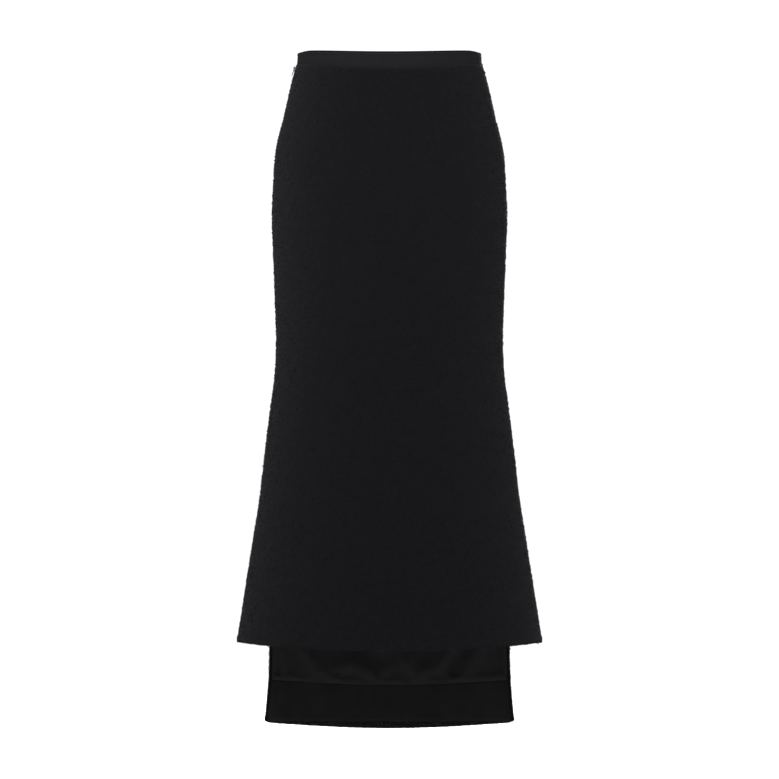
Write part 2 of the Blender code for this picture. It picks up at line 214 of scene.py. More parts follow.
def on_surface(turn, level):
    """Points of the skirt's outer surface. The turn runs from the centre front past the right side seam."""
    turn, level = np.broadcast_arrays(np.asarray(turn, float), np.asarray(level, float))
    ahead = np.cos(turn)
    front = ahead > 0
    depth = np.where(front, read("front_depth", level), read("back_depth", level))
    dip = np.where(front, read("front_dip", level), read("back_dip", level))
    aside = read("half_width", level) * np.sin(turn)
    return np.stack((aside, -depth * ahead, level - dip * ahead**2), axis=-1)


def across_surface(turn, level):
    """Short vectors that run along the surface, level, the way the turn runs."""
    return on_surface(turn + SURFACE_STEP, level) - on_surface(turn - SURFACE_STEP, level)


def outward(turn, level):
    """The directions that point out of the cloth there."""
    up = on_surface(turn, level + SURFACE_STEP) - on_surface(turn, level - SURFACE_STEP)
    normal = np.cross(across_surface(turn, level), up)
    return normal / np.linalg.norm(normal, axis=-1, keepdims=True)


def back_seam_turn(level):
    """How far each seam of the centre back panel is turned from the centre back."""
    return np.arcsin(read("back_panel", level) / read("half_width", level))


# An edge is a function that gives its turn at each level, and sides are one that gives two such turns.


def steady(turn):
    """An edge at one turn."""
    return lambda level: np.full_like(level, turn)


def back_line(share):
    """An edge in the back: the left back seam for a share of 1, the right one for -1, the middle for 0."""
    return lambda level: BACK_TURN + share * back_seam_turn(level)


def between(first, last):
    """The sides of a piece that reaches from one edge to another."""
    return lambda level: (first(level), last(level))


RIGHT_SEAM, LEFT_SEAM = steady(RIGHT_TURN), steady(LEFT_TURN)
RIGHT_BACK_SEAM, LEFT_BACK_SEAM = back_line(-1), back_line(1)
ALL_ROUND = between(steady(-RIGHT_TURN), LEFT_SEAM)
FRONT_SIDES = between(steady(-RIGHT_TURN), RIGHT_SEAM)
RIGHT_SIDE_BACK_SIDES = between(RIGHT_SEAM, RIGHT_BACK_SEAM)
LEFT_SIDE_BACK_SIDES = between(LEFT_BACK_SEAM, LEFT_SEAM)
CENTRE_BACK_SIDES = between(RIGHT_BACK_SEAM, LEFT_BACK_SEAM)
INNER_BACK_SIDES = between(back_line(SIDE_BARE - 1), back_line(1 - SIDE_BARE))


def sides_at(sides, level):
    """The turns of a piece's side edges at one level."""
    first, last = sides(level)
    return float(first), float(last)


def paced(first, last, level, count):
    """Close turns from the first to the last, and how far along the cloth each one lies."""
    turns = np.linspace(first, last, count)
    steps = np.linalg.norm(np.diff(on_surface(turns, level), axis=0), axis=1)
    return turns, np.pad(np.cumsum(steps), (1, 0))


def spaced_turns(first, last, level, spacing):
    """Turns at equal steps over the cloth from the first turn to the last, at one level."""
    fine, reached = paced(first, last, level, 400)
    count = max(1, round(reached[-1] / spacing))
    return np.interp((np.arange(count) + 0.5) * reached[-1] / count, reached, fine)


def frames_on(turns, levels, depth, slant=0.0):
    """Matrices on the cloth, depth into it: X along it, Y up it and Z out of it, turned by slant."""
    turns, levels = np.broadcast_arrays(np.asarray(turns, float), np.asarray(levels, float))
    normal = outward(turns, levels)
    along = across_surface(turns, levels)
    along /= np.linalg.norm(along, axis=1, keepdims=True)
    up = np.cross(normal, along)
    places = np.zeros((len(turns), 4, 4))
    places[:, :3, 0] = along * np.cos(slant) + up * np.sin(slant)
    places[:, :3, 1] = up * np.cos(slant) - along * np.sin(slant)
    places[:, :3, 2] = normal
    places[:, :3, 3] = on_surface(turns, levels) - normal * depth
    places[:, 3, 3] = 1.0
    return places


# --- making pieces -----------------------------------------

# How a piece of cloth is cut and laid: its sides, the levels of its foot, its top and any between, the rows
# of faces from each level to the next, and the columns across it.
Cut = namedtuple("Cut", "sides edges rows columns")
# What a cloth's shape may depend on at each point. Lengths are over the cloth, in metres: across from its
# middle, and to its nearer side, its foot and its top. inner is true on its inner face.
Place = namedtuple("Place", "turn level point across to_side to_foot to_top inner")


def finish_piece(name, data, material):
    """Shows a mesh as a piece with its material, shaded smooth, that rides on the garment."""
    data.materials.append(material)
    data.shade_smooth()
    piece = bpy.data.objects.new(name, data)
    bpy.context.scene.collection.objects.link(piece)
    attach(piece, "garment")
    return piece


def new_mesh(name, made):
    """Mesh data from a bmesh, which is used up."""
    data = bpy.data.meshes.new(name)
    made.to_mesh(data)
    made.free()
    return data


def cut_mesh(cut):
    """A closed slab of squares: the cloth as it is cut, one unit wide, long and thick."""
    mesh = bmesh.new()
    bmesh.ops.create_grid(mesh, x_segments=cut.columns, y_segments=sum(cut.rows), size=0.5)
    inner = bmesh.ops.extrude_face_region(mesh, geom=mesh.faces[:], use_keep_orig=True)["geom"]
    inner = [item for item in inner if isinstance(item, bmesh.types.BMVert)]
    bmesh.ops.translate(mesh, vec=(0.0, 0.0, 1.0), verts=inner)
    bmesh.ops.recalc_face_normals(mesh, faces=mesh.faces)
    # Laying the cut over the skirt mirrors it, so its faces are turned round first.
    bmesh.ops.reverse_faces(mesh, faces=mesh.faces)
    return mesh


def unchanged(place):
    return 0.0


def lay(cut, flat, inset, thickness, shape, drop, free):
    """The points of a cut laid over the skirt, its UVs in metres along the grain, and its flat size."""
    row_levels = [cut.edges[0]]
    for low, high, rows in zip(cut.edges, cut.edges[1:], cut.rows):
        row_levels += list(low + (high - low) * np.arange(1, rows + 1) / rows)
    row_levels = np.array(row_levels)
    first, last = cut.sides(row_levels)
    spare = free / read("front_depth", row_levels)
    share = np.linspace(0.0, 1.0, cut.columns + 1)
    turns = (first + spare)[:, None] + (last - first - 2 * spare)[:, None] * share
    levels = np.broadcast_to(row_levels[:, None], turns.shape)
    points = on_surface(turns, levels)
    steps = np.linalg.norm(np.diff(points, axis=1), axis=2)
    rises = np.linalg.norm(np.diff(points, axis=0), axis=2)
    across = np.pad(np.cumsum(steps, axis=1), ((0, 0), (1, 0)))
    up = np.pad(np.cumsum(rises, axis=0), ((1, 0), (0, 0)))
    width = across[:, -1:]
    # Each point of the slab is on one row and one column of the grid, on the outer face or the inner one.
    row = np.rint((flat[:, 1] + 0.5) * sum(cut.rows)).astype(int)
    column = np.rint((flat[:, 0] + 0.5) * cut.columns).astype(int)
    at, inner = (row, column), flat[:, 2] > 0.5
    place = Place(
        turns[at], levels[at], points[at], (across - width / 2)[at],
        np.minimum(across, width - across)[at], up[at], (up[-1:] - up)[at], inner)
    depth = inset + np.where(inner, thickness, 0.0) + shape(place)
    laid = place.point - outward(place.turn, place.level) * depth[:, None]
    laid[:, 2] -= drop(place)
    cells = (steps[1:] + steps[:-1]) / 2 * (rises[:, 1:] + rises[:, :-1]) / 2
    flat_size = (float(width.max()), float(up[-1].max()), float(cells.sum()))
    return laid, np.stack((place.across, place.to_foot), axis=1), flat_size


def add_cloth(name, cut, material, inset, thickness, shape=unchanged, drop=unchanged, free=0.0):
    """One piece of cloth on the skirt's surface, and the width, length and area that it was cut to.

    shape gives how much further in each point lies, drop how much lower, and free is left out at each side.
    """
    data = new_mesh(name, cut_mesh(cut))
    flat = np.empty(len(data.vertices) * 3, np.float32)
    data.vertices.foreach_get("co", flat)
    laid, grain, flat_size = lay(
        cut, flat.reshape(-1, 3).astype(float), inset, thickness, shape, drop, free)
    data.vertices.foreach_set("co", laid.astype(np.float32).ravel())
    corners = np.empty(len(data.loops), np.int32)
    data.loops.foreach_get("vertex_index", corners)
    data.uv_layers.new(name="grain").data.foreach_set("uv", grain[corners].astype(np.float32).ravel())
    data.update()
    return finish_piece(name, data, material), flat_size


def declare_sheet(flat_size):
    """Takes the width, length and area that a piece was cut to; nothing is done with them."""
    width, length, area = flat_size
    area = min(area, width * length)


def add_copies(name, template, places, material):
    """A piece of copies of a template, which is used up: one copy for each 4 by 4 matrix in places."""
    bmesh.ops.triangulate(template, faces=template.faces)
    template.verts.index_update()
    points = np.array([vertex.co[:] for vertex in template.verts])
    faces = np.array([[vertex.index for vertex in face.verts] for face in template.faces])
    template.free()
    moved = np.einsum("nij,pj->npi", places[:, :3, :3], points) + places[:, None, :3, 3]
    corners = (faces + (np.arange(len(places)) * len(points))[:, None, None]).ravel()
    data = bpy.data.meshes.new(name)
    data.vertices.add(len(places) * len(points))
    data.vertices.foreach_set("co", moved.astype(np.float32).ravel())
    data.loops.add(len(corners))
    data.loops.foreach_set("vertex_index", corners.astype(np.int32))
    data.polygons.add(len(corners) // 3)
    data.polygons.foreach_set("loop_start", np.arange(0, len(corners), 3, dtype=np.int32))
    data.update(calc_edges=True)
    data.validate()
    return finish_piece(name, data, material)


# --- materials ---------------------------------------------

SHEEN_ROUGHNESS = 0.45
SHEEN_TINT = (0.9, 0.9, 1.0, 1.0)
# Nearly all of a noise's values lie between these two.
NOISE_LOW, NOISE_HIGH = 0.3, 0.7


def times(colour, factor):
    return tuple(channel * factor for channel in colour)


class Surface:
    """A material with its constant values on the shader's own sockets, and the nodes that vary it."""

    def __init__(self, name, colour, roughness, specular, sheen=0.0, metallic=0.0):
        self.colour = tuple(colour)
        self.material = bpy.data.materials.new(name)
        self.material.use_nodes = True
        self.material.diffuse_color = (*self.colour, 1.0)
        self.tree = self.material.node_tree
        self.shader = self.tree.nodes["Principled BSDF"]
        constants = {
            "Base Color": (*self.colour, 1.0), "Roughness": roughness, "Specular IOR Level": specular,
            "Sheen Weight": sheen, "Sheen Roughness": SHEEN_ROUGHNESS, "Sheen Tint": SHEEN_TINT,
            "Metallic": metallic,
        }
        for socket, value in constants.items():
            self.shader.inputs[socket].default_value = value
        coordinates = self.tree.nodes.new("ShaderNodeTexCoord").outputs
        self.whole, self.flat = coordinates["Object"], coordinates["UV"]

    def node(self, kind, values, **settings):
        """Adds a node. A value is a constant, or the socket that it is read from."""
        made = self.tree.nodes.new(kind)
        for key, value in settings.items():
            setattr(made, key, value)
        for key, value in values.items():
            if isinstance(value, bpy.types.NodeSocket):
                self.tree.links.new(value, made.inputs[key])
            else:
                made.inputs[key].default_value = value
        return made

    def stretched(self, vector, scale):
        return self.node("ShaderNodeMapping", {"Vector": vector, "Scale": scale}).outputs["Vector"]

    def noise(self, vector, scale, detail=2.0, roughness=0.5, distortion=0.0):
        return self.node("ShaderNodeTexNoise", {
            "Vector": vector, "Scale": scale, "Detail": detail, "Roughness": roughness,
            "Distortion": distortion}).outputs["Fac"]

    def cells(self, vector, scale):
        return self.node("ShaderNodeTexVoronoi", {"Vector": vector, "Scale": scale}).outputs["Distance"]

    def wave(self, vector, scale, direction="X"):
        return self.node(
            "ShaderNodeTexWave", {"Vector": vector, "Scale": scale}, wave_type="BANDS",
            bands_direction=direction).outputs["Fac"]

    def maths(self, operation, first, second):
        return self.node("ShaderNodeMath", {0: first, 1: second}, operation=operation).outputs[0]

    def mixed(self, first, second, share):
        """The first value by its share, and the second by what is left."""
        return self.maths(
            "ADD", self.maths("MULTIPLY", first, share), self.maths("MULTIPLY", second, 1.0 - share))

    def strands(self, vector, scale, thinness):
        """Curling lines, 1 along their middles and 0 between them: where a noise crosses its middle value."""
        off_middle = self.maths("SUBTRACT", self.noise(vector, scale, detail=1.0, distortion=1.6), 0.5)
        away = self.maths("MULTIPLY", self.maths("ABSOLUTE", off_middle, 0.0), thinness)
        return self.maths("MAXIMUM", self.maths("SUBTRACT", 1.0, away), 0.0)

    def colours(self, factor, first, second, low=NOISE_LOW, high=NOISE_HIGH):
        ramp = self.node("ShaderNodeValToRGB", {"Fac": factor})
        for element, position, colour in zip(ramp.color_ramp.elements, (low, high), (first, second)):
            element.position, element.color = position, (*colour, 1.0)
        self.tree.links.new(ramp.outputs["Color"], self.shader.inputs["Base Color"])

    def shades(self, factor, dark, light, low=NOISE_LOW, high=NOISE_HIGH):
        """Varies the material's own colour, from a dark share of it to a light one."""
        self.colours(factor, times(self.colour, dark), times(self.colour, light), low, high)

    def roughness(self, factor, at_low, at_high):
        ranged = self.node("ShaderNodeMapRange", {
            "Value": factor, "From Min": NOISE_LOW, "From Max": NOISE_HIGH,
            "To Min": at_low, "To Max": at_high})
        self.tree.links.new(ranged.outputs["Result"], self.shader.inputs["Roughness"])

    def bump(self, *layers):
        """Raises the surface by (height, depth in metres, strength) layers, one over the other."""
        normal = {}
        for height, depth, strength in layers:
            made = self.node("ShaderNodeBump", {
                "Height": height, "Distance": depth, "Strength": strength, **normal})
            normal = {"Normal": made.outputs["Normal"]}
        self.tree.links.new(normal["Normal"], self.shader.inputs["Normal"])


def boucle_material(name):
    """Curly woven wool: matt and dark, covered in fine curls a little lighter than what lies between them."""
    surface = Surface(name, skirt_settings().boucle_colour, roughness=0.92, specular=0.02, sheen=0.018)
    knots = surface.cells(surface.whole, 320.0)
    curls = surface.maths(
        "MAXIMUM", surface.strands(surface.whole, 250.0, 13.0), surface.strands(surface.whole, 420.0, 11.0))
    fibres = surface.noise(surface.whole, 900.0, detail=3.0, roughness=0.65, distortion=1.2)
    surface.shades(surface.mixed(fibres, curls, 0.6), 0.72, 1.30, 0.30, 0.75)
    surface.roughness(fibres, 0.97, 0.85)
    surface.bump((knots, -0.8 * MM, 0.25), (curls, 0.6 * MM, 0.7), (fibres, 0.4 * MM, 0.4))
    return surface.material


def loop_material(name, share=1.4):
    """The boucle's looped yarn: the ground's wool, twisted, at a share of the ground's lightness."""
    colour = times(skirt_settings().boucle_colour, share)
    surface = Surface(name, colour, roughness=0.85, specular=0.016, sheen=0.014)
    fibres = surface.noise(surface.whole, 2200.0, distortion=0.8)
    surface.shades(surface.noise(surface.whole, 150.0), 0.80, 1.30, 0.38, 0.66)
    surface.roughness(fibres, 0.95, 0.75)
    surface.bump((fibres, 0.2 * MM, 0.5))
    return surface.material


def nub_material(name):
    """The boucle's tight curls: the ground's wool, felted, with less of a bloom."""
    colour = times(skirt_settings().boucle_colour, 1.5)
    surface = Surface(name, colour, roughness=0.95, specular=0.016, sheen=0.014)
    felt = surface.noise(surface.whole, 900.0, detail=3.0, distortion=1.0)
    surface.shades(felt, 0.85, 1.18, 0.36, 0.64)
    surface.roughness(felt, 0.98, 0.88)
    surface.bump((felt, 0.4 * MM, 0.5))
    return surface.material


def ribbon_material(name):
    """Ribbed ribbon: fine upright ribs, a low sheen, and soft upright streaks of painted sheen."""
    surface = Surface(name, skirt_settings().ribbon_colour, roughness=0.80, specular=0.008, sheen=0.004)
    ribs = surface.wave(surface.flat, 262.0)
    weft = surface.noise(surface.stretched(surface.flat, (900.0, 3200.0, 1.0)), 1.0)
    # Soft upright streaks that lighten and darken the colour are painted sheen, like light on broad ribs;
    # they also vary the roughness.
    painted_sheen_streaks = surface.noise(surface.stretched(surface.flat, (240.0, 26.0, 1.0)), 1.0, detail=3.0)
    surface.shades(surface.mixed(ribs, painted_sheen_streaks, 0.35), 0.86, 1.16)
    surface.roughness(painted_sheen_streaks, 0.74, 0.88)
    surface.bump((ribs, 0.30 * MM, 0.55), (weft, 0.08 * MM, 0.4))
    return surface.material


def satin_material(name):
    """Satin lining: a smooth, soft gloss, with faint creases down the cloth."""
    surface = Surface(name, skirt_settings().satin_colour, roughness=0.50, specular=0.040)
    surface.shader.inputs["Anisotropic"].default_value = 0.35
    creases = surface.noise(
        surface.stretched(surface.flat, (60.0, 22.0, 1.0)), 1.0, detail=4.0, distortion=0.6)
    threads = surface.wave(surface.flat, 1400.0, direction="DIAGONAL")
    surface.shades(creases, 0.85, 1.2, 0.35, 0.65)
    surface.roughness(creases, 0.44, 0.58)
    surface.bump((creases, 1.1 * MM, 0.22), (threads, 0.03 * MM, 0.3))
    return surface.material


def facing_material(name):
    """Plain woven facing: matt, with a close even weave."""
    surface = Surface(name, skirt_settings().facing_colour, roughness=0.85, specular=0.03, sheen=0.008)
    weave = surface.maths(
        "MULTIPLY", surface.wave(surface.flat, 520.0), surface.wave(surface.flat, 520.0, direction="Y"))
    press = surface.noise(surface.whole, 40.0, detail=3.0)
    surface.shades(press, 0.85, 1.18, 0.35, 0.65)
    surface.roughness(press, 0.80, 0.92)
    surface.bump((weave, 0.15 * MM, 0.5), (press, 0.8 * MM, 0.25))
    return surface.material


def tape_material(name):
    """Zip tape: a tight herringbone."""
    surface = Surface(name, times(skirt_settings().facing_colour, 1.3), roughness=0.78, specular=0.14)
    herringbone = surface.wave(surface.flat, 300.0, direction="DIAGONAL")
    surface.shades(herringbone, 0.8, 1.25, 0.2, 0.8)
    surface.roughness(surface.noise(surface.flat, 2500.0), 0.70, 0.85)
    surface.bump((herringbone, 0.15 * MM, 0.6))
    return surface.material


def thread_material(name, share=0.36):
    """Sewing thread: twisted and faintly glossy, at a share of the ribbon's lightness."""
    colour = times(skirt_settings().ribbon_colour, share)
    surface = Surface(name, colour, roughness=0.55, specular=min(0.05 * share, 0.02))
    twist = surface.noise(surface.whole, 2600.0, distortion=1.0)
    surface.shades(twist, 0.75, 1.25)
    surface.roughness(twist, 0.48, 0.66)
    surface.bump((twist, 0.1 * MM, 0.5))
    return surface.material


def black_metal_material(name):
    """Black enamel on zinc: a soft gloss, a little rubbed."""
    surface = Surface(name, (0.0012, 0.0012, 0.0013), roughness=0.60, specular=0.010)
    rub = surface.noise(surface.whole, 900.0, detail=4.0)
    surface.colours(rub, (0.0008, 0.0008, 0.0009), (0.0022, 0.0022, 0.0023), 0.4, 0.75)
    surface.roughness(rub, 0.50, 0.70)
    surface.bump((rub, 0.05 * MM, 0.3))
    return surface.material


def steel_material(name):
    """Nickel-plated steel, drawn and stamped: fine scratches along it."""
    surface = Surface(name, (0.38, 0.38, 0.385), roughness=0.32, specular=0.5, metallic=1.0)
    scratches = surface.noise(surface.stretched(surface.whole, (900.0, 900.0, 5200.0)), 1.0, detail=3.0)
    surface.colours(scratches, (0.32, 0.32, 0.325), (0.44, 0.44, 0.445))
    surface.roughness(scratches, 0.26, 0.42)
    surface.bump((scratches, 0.04 * MM, 0.35))
    return surface.material


# --- boucle ------------------------------------------------

# The level hem hangs lower by the side seams, where their turnings make it heavy, and most on the right.
SEAM_SAG, SEAM_SAG_TURN, SEAM_SAG_RISE = 2.2 * MM, math.radians(13.5), 7 * MM
SEAM_SAG_LEAN = 0.19
# The longer back hangs lower in the middle, and its lower corners are a little rounded.
MIDDLE_SAG, MIDDLE_SAG_RISE = 0.6 * MM, 12 * MM
CORNER_LIFT, CORNER_REACH = 2.6 * MM, 5 * MM
# How much longer the cloth is than a straight line across, by the side edges of the longer back.
EDGE_SLOPE = 1.35

# A band that is sunk into a cloth's face, or raised: how far in its middle lies, how far that is from an
# edge, and how far the band reaches to either side.
Band = namedtuple("Band", "inset middle reach")
WAIST_SINK = Band(0.5 * MM, 0.0, 2.0 * MM)
SEAM_SINK = Band(0.5 * MM, 0.0, 3.5 * MM)
HEM_FOLD = Band(0.9 * MM, 0.0, 1.7 * MM)
HEM_SWELL = Band(-0.9 * MM, 4.5 * MM, 3.6 * MM)
SEAM_SWELL = Band(-0.8 * MM, 4.5 * MM, 3.6 * MM)
SEAM_SINK_END = 12 * MM
FULLNESS = 0.25 * MM
UNEVENNESS, UNEVEN_LENGTH = 0.22 * MM, 16 * MM
INNER_SWELL = 0.4

HEM_ROWS, HEM_ROWS_HEIGHT = 7, 9 * MM
FEWEST_COLUMNS = 8
# Cloth is made a little thinner than its solid, so its inner face stays clear of the next layer.
THINNER = 0.3 * MM


def waves(point, length, seed):
    """Soft unevenness from -1 to 1, about the given length from crest to crest."""
    angles = np.random.default_rng(seed).uniform(0, math.tau, (4, 3))
    total = 0.0
    for index, (first, second, third) in enumerate(angles):
        reach = length * (0.8 + 0.35 * index)
        direction = np.array((math.cos(first), math.cos(second), math.sin(second)))
        total = total + np.sin(point @ direction * math.tau / reach + third)
    return total / len(angles)


def bell(distance, reach):
    """1 where there is no distance, and fading to 0 over about twice the reach."""
    return np.exp(-((distance / reach) ** 2))


def eased(part):
    """Smooth steps from 0 to 1."""
    part = np.clip(part, 0.0, 1.0)
    return part**2 * (3 - 2 * part)


def banded(band, distance):
    """How far in a band puts the face, at each distance from its edge."""
    return band.inset * bell(distance - band.middle, band.reach)


def seam_sag(turn, up):
    """How much lower the hem hangs by the side seams."""
    spread = 1.0 + SEAM_SAG_LEAN * np.sin(turn)
    from_seam = np.arcsin(np.abs(np.cos(turn)))
    return SEAM_SAG * spread * bell(from_seam, SEAM_SAG_TURN * spread) * bell(up, SEAM_SAG_RISE)


def back_sag(turn, to_side, up):
    """How much lower the longer back hangs, and at its corners how much higher."""
    sag = MIDDLE_SAG * bell(np.sin(turn), 0.5) * bell(up, MIDDLE_SAG_RISE)
    return sag - CORNER_LIFT * bell(to_side, CORNER_REACH) * bell(up, CORNER_REACH)


def hem_drop(place):
    return seam_sag(place.turn, place.to_foot)


def back_hem_drop(place):
    return back_sag(place.turn, place.to_side, place.to_foot)


def boucle_shape(place):
    """Panels sink a little into their seams, swell into a soft roll at the hem, and are never quite even."""
    seam = banded(SEAM_SINK, place.to_side) * (1.0 - bell(place.to_foot, SEAM_SINK_END))
    by_seam = bell(np.cos(place.turn), 0.16)
    swell = banded(HEM_SWELL, place.to_foot) + banded(SEAM_SWELL, place.to_foot) * by_seam
    sunk = banded(WAIST_SINK, place.to_top) + seam + banded(HEM_FOLD, place.to_foot)
    uneven = waves(place.point, UNEVEN_LENGTH, 3) * UNEVENNESS
    return np.where(place.inner, INNER_SWELL * swell, sunk + swell - uneven - FULLNESS)


# Each panel's side edges, its foot, how its foot hangs, and the stretches that its curls are made in.
PANELS = {
    "front_panel": (FRONT_SIDES, HEM, hem_drop, (HEM, -0.610, -0.360, WAIST_SEAM)),
    "side_back_left": (LEFT_SIDE_BACK_SIDES, HEM, hem_drop, (HEM, WAIST_SEAM)),
    "side_back_right": (RIGHT_SIDE_BACK_SIDES, HEM, hem_drop, (HEM, WAIST_SEAM)),
    "centre_back_panel": (CENTRE_BACK_SIDES, BACK_HEM, back_hem_drop, (BACK_HEM, -0.480, WAIST_SEAM)),
}


def panel_cut(sides, foot, top, cell):
    """Squares of about one cell, with closer rows at the hem."""
    _, reached = paced(*sides_at(sides, foot), foot, 60)
    columns = max(FEWEST_COLUMNS, round(reached[-1] / cell))
    hem_top = foot + HEM_ROWS_HEIGHT
    return Cut(sides, (foot, hem_top, top), (HEM_ROWS, round((top - hem_top) / cell)), columns)


# Yarn that stands out of the boucle: how much of a ring each bit is, how far it leans at most, and how deep
# the middle of its ring lies, in millimetres.
Yarn = namedtuple("Yarn", "part lean depth")
LOOPS = Yarn(0.62, 1.0, (0.1, 0.8))
NUBS = Yarn(0.80, 0.9, (-0.3, 0.6))
FOOT_CURLS = Yarn(0.62, 1.2, (-0.5, 0.3))
YARN_STEPS = 4

HEM_YARN_HEIGHT = (0.3, 3.5)
EDGE_YARN_SPACING = 2.2 * MM
EDGE_YARN_TURN = 0.006
EDGE_YARN_DEPTH = (0.5, 1.6)
FOOT_CURL_SPACING = 2.0 * MM
# How far a point may be from its place in the rows, as a share of the spacing.
SCATTER = 0.42


def loop_template(yarn, radius, part, steps=YARN_STEPS):
    """One curl of yarn: three-sided, an arc of a ring in the XY plane, with the middle of the arc on +Y."""
    mesh = bmesh.new()
    corners = [
        mesh.verts.new((radius + yarn * math.cos(angle), 0.0, yarn * math.sin(angle)))
        for angle in (0.0, math.tau / 3, 2 * math.tau / 3)
    ]
    ring = [mesh.edges.new((corner, after)) for corner, after in zip(corners, corners[1:] + corners[:1])]
    bmesh.ops.spin(
        mesh, geom=corners + ring, cent=(0, 0, 0), axis=(0, 0, 1), angle=math.tau * part, steps=steps,
        use_merge=False)
    middle = Matrix.Rotation(math.pi / 2 - math.pi * part, 3, "Z")
    bmesh.ops.rotate(mesh, cent=(0, 0, 0), matrix=middle, verts=mesh.verts)
    bmesh.ops.recalc_face_normals(mesh, faces=mesh.faces)
    return mesh


def scatter(sides, foot, top, spacing, chance):
    """Turns and levels of points about one spacing apart over a stretch of the skirt."""
    turns, levels = [], []
    for level in np.arange(foot + spacing * 0.3, top - spacing * 0.3, spacing):
        fine, reached = paced(*sides_at(sides, level), level, 80)
        count = max(2, round(reached[-1] / spacing))
        wanted = (np.arange(count) + 0.5 + chance.uniform(-SCATTER, SCATTER, count)) * reached[-1] / count
        turns.append(np.interp(wanted, reached, fine))
        levels.append(level + chance.uniform(-SCATTER, SCATTER, count) * spacing)
    return np.concatenate(turns), np.clip(np.concatenate(levels), foot, top)


def yarn_places(turns, levels, chance, lean, depth, drop=0.0, inside=False):
    """A matrix for each bit of yarn: its Y is out of the cloth's outer or inner face, give or take a lean."""
    count = len(turns)
    normal = outward(turns, levels) * (-1.0 if inside else 1.0)
    along = np.cross(normal, chance.normal(size=(count, 3)))
    along /= np.linalg.norm(along, axis=1, keepdims=True)
    lean = chance.uniform(-lean, lean, (count, 1))
    out = normal * np.cos(lean) + np.cross(along, normal) * np.sin(lean)
    size = chance.uniform(0.7, 1.2, (count, 1))
    places = np.zeros((count, 4, 4))
    places[:, :3, 0] = along * size * chance.uniform(0.8, 1.3, (count, 1))
    places[:, :3, 1] = out * size
    places[:, :3, 2] = np.cross(along, out) * size
    places[:, :3, 3] = on_surface(turns, levels) - normal * chance.uniform(*depth, (count, 1)) * MM
    if inside:
        places[:, :3, 3] += normal * BOUCLE
    places[:, 2, 3] -= drop
    places[:, 3, 3] = 1.0
    return places


def yarn_drop(turns, levels, foot):
    """How much lower yarn lies near a foot, as the cloth under it does."""
    if foot != BACK_HEM:
        return seam_sag(turns, levels - foot)
    to_side = EDGE_SLOPE * (read("back_panel", levels) - np.abs(on_surface(turns, levels)[:, 0]))
    return back_sag(turns, np.maximum(to_side, 0.0), levels - foot)


def scattered_yarn(sides, foot, top, spacing, chance, at_foot, yarn):
    """Places for yarn over one stretch of a panel, closest along its hem."""
    turns, levels = scatter(sides, foot, top, spacing, chance)
    if at_foot:
        edge_turns, _ = scatter(sides, foot, foot + spacing, spacing * 0.6, chance)
        turns = np.concatenate((turns, edge_turns))
        levels = np.concatenate((levels, foot + chance.uniform(*HEM_YARN_HEIGHT, len(edge_turns)) * MM))
    drop = yarn_drop(turns, levels, foot) if at_foot else 0.0
    return yarn_places(turns, levels, chance, yarn.lean, yarn.depth, drop)


def longer_back_edges(chance, lean):
    """Places for yarn along the side edges of the longer back."""
    levels = np.arange(BACK_HEM + 1 * MM, HEM + 6 * MM, EDGE_YARN_SPACING)
    first, last = CENTRE_BACK_SIDES(levels)
    inward = chance.uniform(0.0, EDGE_YARN_TURN, (2, len(levels)))
    turns, levels = np.concatenate((first + inward[0], last - inward[1])), np.tile(levels, 2)
    return yarn_places(turns, levels, chance, lean, EDGE_YARN_DEPTH, yarn_drop(turns, levels, BACK_HEM))


def make_foot_curls():
    """Curls on the boucle that shows inside the longer back's foot, below the facing, in painted highlight.
    """
    settings = skirt_settings()
    chance = np.random.default_rng(settings.seed + 1)
    turns, levels = scatter(INNER_BACK_SIDES, BACK_HEM, BACK_HEM + 10 * MM, FOOT_CURL_SPACING, chance)
    seen = levels < BACK_HEM + facing_foot(turns) - 0.4 * MM
    turns, levels = turns[seen], levels[seen]
    drop = yarn_drop(turns, levels, BACK_HEM)
    places = yarn_places(turns, levels, chance, FOOT_CURLS.lean, FOOT_CURLS.depth, drop, inside=True)
    template = loop_template(settings.yarn * 0.9, settings.loop_size * 0.8, FOOT_CURLS.part)
    # The yarn here is 4.5 times as light as the ground's: painted highlight, for light that the turned foot
    # would catch.
    return add_copies("back_foot_curls", template, places, loop_material("boucle_foot_yarn", 4.5))


def add_yarn(name, sides, low, high, at_foot, chance, materials):
    """The loops and the nubs of yarn over one stretch of a panel: two pieces."""
    settings = skirt_settings()
    made = []
    for kind, yarn, thickness, size, spacing, material in (
        ("loops", LOOPS, settings.yarn, settings.loop_size, settings.loop_spacing, materials[0]),
        ("nubs", NUBS, settings.yarn * 1.3, settings.nub_size, settings.nub_spacing, materials[1]),
    ):
        places = scattered_yarn(sides, low, high, spacing, chance, at_foot, yarn)
        if low == BACK_HEM:
            places = np.concatenate((places, longer_back_edges(chance, yarn.lean)))
        template = loop_template(thickness, size, yarn.part)
        made.append(add_copies(f"{name}_{kind}", template, places, material))
    return made


def make_boucle_panels():
    """The four panels that the skirt is sewn from, each with the yarn that stands out of it."""
    settings = skirt_settings()
    ground = boucle_material("boucle_ground")
    yarns = loop_material("boucle_yarn"), nub_material("boucle_nubs")
    chance = np.random.default_rng(settings.seed)
    for node, (sides, foot, drop, stretches) in PANELS.items():
        cut = panel_cut(sides, foot, WAIST_SEAM - 0.05 * MM, settings.cell)
        panel, size = add_cloth(
            f"{node}_cloth", cut, ground, 0.0, BOUCLE - THINNER, boucle_shape, drop)
        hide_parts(node)
        yarn = []
        for number, (low, high) in enumerate(zip(stretches, stretches[1:]), start=1):
            yarn += add_yarn(f"{node}_{number}", sides, low, high, low == foot, chance, yarns)
        if foot == BACK_HEM:
            yarn.append(make_foot_curls())
        declare_sheet(size)


# --- turnings ----------------------------------------------

